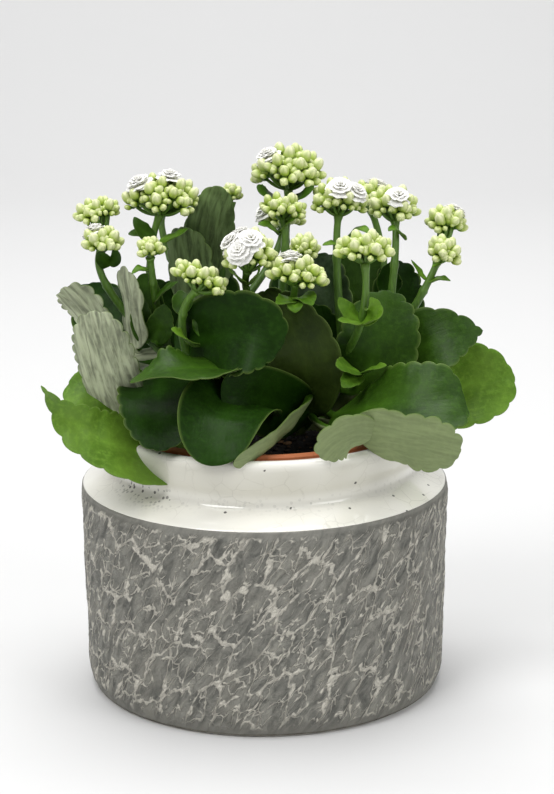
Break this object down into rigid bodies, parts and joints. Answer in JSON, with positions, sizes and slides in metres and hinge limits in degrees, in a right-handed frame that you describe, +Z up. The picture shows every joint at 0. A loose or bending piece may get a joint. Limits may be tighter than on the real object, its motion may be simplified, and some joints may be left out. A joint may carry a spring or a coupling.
{
  "type": "potted kalanchoe plant",
  "caption": "Flowering kalanchoe with scalloped fleshy leaves and domed heads of white buds, in a nursery pot inside a collared ceramic cover pot.",
  "frame": {"origin": "middle of the flat ring that the cover pot rests on", "axes": "+Z up along the pots' axis, -Y towards the plant's front, +X to the right seen from the front"},
  "size_m": [0.2256, 0.18, 0.2626],
  "materials": {
    "glaze": "glossy cream-white crackle glaze with dark pinholes",
    "stone_texture": "matt grey coat with raised cream veins",
    "pot_plastic": "terracotta-coloured moulded plastic",
    "growing_mix": "moist dark peat",
    "crumb": "loose crumbs of bark and peat",
    "stem": "smooth green stem",
    "leaf": "waxy fleshy leaf, glossy above and pale grey-green below",
    "flower": "green stalk with pale yellow-green buds and white double flowers"
  },
  "bodies": {
    "root": {"cover_pot": "glaze", "stone_coat": "stone_texture", "nursery_pot": "pot_plastic", "root_ball": "growing_mix", "soil_crumbs": "crumb", "crown_stems": "stem", "leaf_front_left_long": "leaf", "leaf_left_pale": "leaf", "leaf_left_high_pale": "leaf", "leaf_left_high_dark": "leaf", "leaf_left_edge_on": "leaf", "leaf_left_under": "leaf", "leaf_left_round": "leaf", "leaf_left_shelf": "leaf", "leaf_front_high": "leaf", "leaf_front_olive": "leaf", "leaf_front_bowl": "leaf", "leaf_front_trough": "leaf", "leaf_front_strip": "leaf", "leaf_right_gloss": "leaf", "leaf_right_low_pale": "leaf", "leaf_right_low_lobe": "leaf", "leaf_right_middle": "leaf", "leaf_right_back": "leaf", "leaf_far_right": "leaf", "leaf_middle_dark": "leaf", "leaf_tall_back": "leaf", "leaf_tall_left": "leaf", "leaf_middle_sheen": "leaf", "leaf_right_high": "leaf", "leaf_back_left_low": "leaf", "leaf_back_low": "leaf", "leaf_back_right_low": "leaf", "leaf_back_left_middle": "leaf", "leaf_back_middle": "leaf", "leaf_back_right_middle": "leaf", "leaf_back_left_high": "leaf", "leaf_back_right_high": "leaf", "bract_left": "leaf", "flower_stem_far_left": "flower", "flower_stem_left": "flower", "flower_stem_back_left": "flower", "flower_stem_left_low": "flower", "flower_stem_front_left": "flower", "flower_stem_tallest": "flower", "flower_stem_middle_back": "flower", "flower_stem_middle": "flower", "flower_stem_middle_low": "flower", "flower_stem_right_middle": "flower", "flower_stem_right_high": "flower", "flower_stem_right_front": "flower", "flower_stem_far_right": "flower", "flower_stem_behind_left": "flower", "flower_stem_behind_middle": "flower", "flower_stem_behind_right": "flower"}
  },
  "joints": []
}
